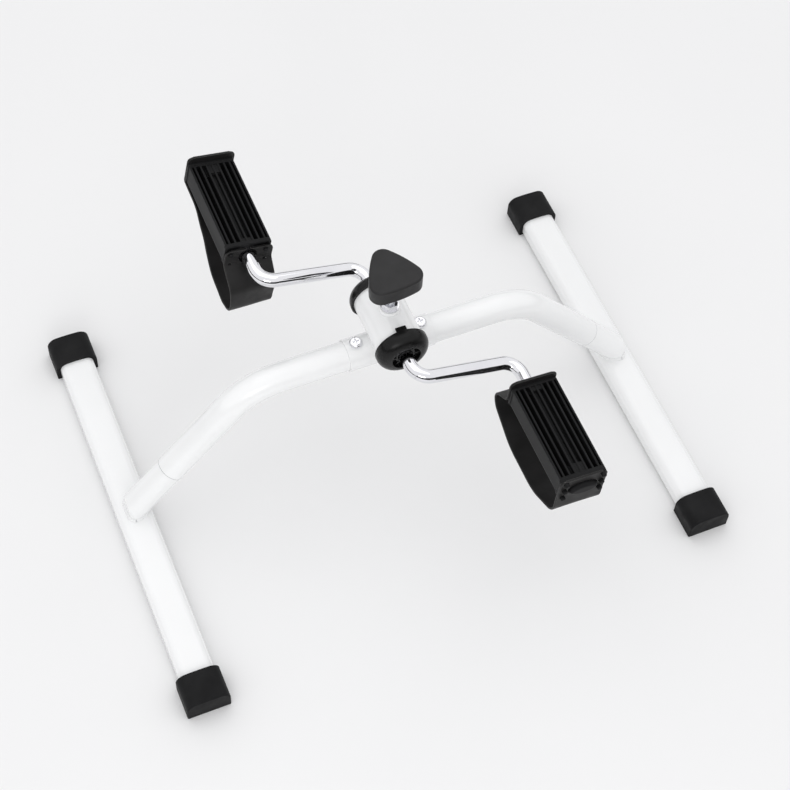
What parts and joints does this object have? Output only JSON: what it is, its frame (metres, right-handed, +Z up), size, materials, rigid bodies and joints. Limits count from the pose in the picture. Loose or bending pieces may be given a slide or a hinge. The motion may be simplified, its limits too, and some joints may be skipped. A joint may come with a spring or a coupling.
{
  "type": "pedal exerciser",
  "caption": "Low floor stand with a hub between two bent legs, a one-piece crank with strapped slotted pedals, and a three-cornered tension knob on top.",
  "frame": {"origin": "on the floor, midway between the two crossbars and under the hub", "axes": "+X from the left crossbar to the right one, +Y along the crank's axis towards the rear pedal, +Z up"},
  "size_m": [0.5062, 0.39, 0.254],
  "materials": {
    "white_paint": "glossy white powder coat",
    "chrome": "polished plating",
    "zinc_steel": "bright zinc-plated steel",
    "cap_rubber": "satin black moulded rubber",
    "black_plastic": "satin black moulded plastic",
    "knob_plastic": "matte dark grey-black moulded plastic",
    "end_cap_plastic": "semi-gloss black moulded plastic",
    "strap_vinyl": "matte black flexible vinyl",
    "nylon": "natural off-white nylon",
    "brake_fibre": "matt brown friction sleeve"
  },
  "bodies": {
    "stand": {"hub_shell": "white_paint", "cross_sleeve": "white_paint", "screw_boss": "white_paint", "jam_nut": "chrome", "arm_bolts": "chrome", "arm_nuts": "zinc_steel", "rear_end_cap": "end_cap_plastic", "front_end_cap": "end_cap_plastic", "rear_bearing": "nylon", "front_bearing": "nylon", "left_arm": "white_paint", "right_arm": "white_paint", "left_stub": "white_paint", "right_stub": "white_paint", "left_crossbar": "white_paint", "right_crossbar": "white_paint", "front_left_foot_cap": "cap_rubber", "rear_left_foot_cap": "cap_rubber", "front_right_foot_cap": "cap_rubber", "rear_right_foot_cap": "cap_rubber"},
    "crank": {"crank_rod": "chrome", "shaft_collars": "zinc_steel", "brake_drum": "brake_fibre", "front_pedal_washer": "zinc_steel", "front_pedal_clip": "zinc_steel", "rear_pedal_washer": "zinc_steel", "rear_pedal_clip": "zinc_steel"},
    "front_pedal": {"front_pedal_body": "black_plastic", "front_pedal_bushes": "black_plastic", "front_pedal_end_cap": "black_plastic", "front_foot_strap": "strap_vinyl"},
    "rear_pedal": {"rear_pedal_body": "black_plastic", "rear_pedal_bushes": "black_plastic", "rear_pedal_end_cap": "black_plastic", "rear_foot_strap": "strap_vinyl"},
    "brake": {"brake_shoe": "nylon"},
    "knob": {"tension_screw": "zinc_steel", "tension_knob": "knob_plastic"}
  },
  "joints": [
    {"name": "crank_spin", "type": "hinge", "parent": "stand", "child": "crank", "pos_m": [0, 0, 0.184], "axis": [0, 1, 0], "continuous": true},
    {"name": "front_pedal_spin", "type": "hinge", "parent": "crank", "child": "front_pedal", "pos_m": [0.0904, -0.138, 0.16134], "axis": [0, 1, 0], "continuous": true},
    {"name": "rear_pedal_spin", "type": "hinge", "parent": "crank", "child": "rear_pedal", "pos_m": [-0.0904, 0.138, 0.20666], "axis": [0, 1, 0], "continuous": true},
    {"name": "brake_slide", "type": "slide", "parent": "stand", "child": "brake", "axis": [0, 0, 1], "range_m": [-0.00031, 0.0025]},
    {"name": "knob_turn", "type": "hinge", "parent": "brake", "child": "knob", "pos_m": [0, 0, 0.244], "axis": [0, 0, 1], "range_deg": [-90, 720]}
  ],
  "couplings": [
    {"joint": "brake_slide", "follows": "knob_turn", "m_per_rad": 0.00019894}
  ]
}
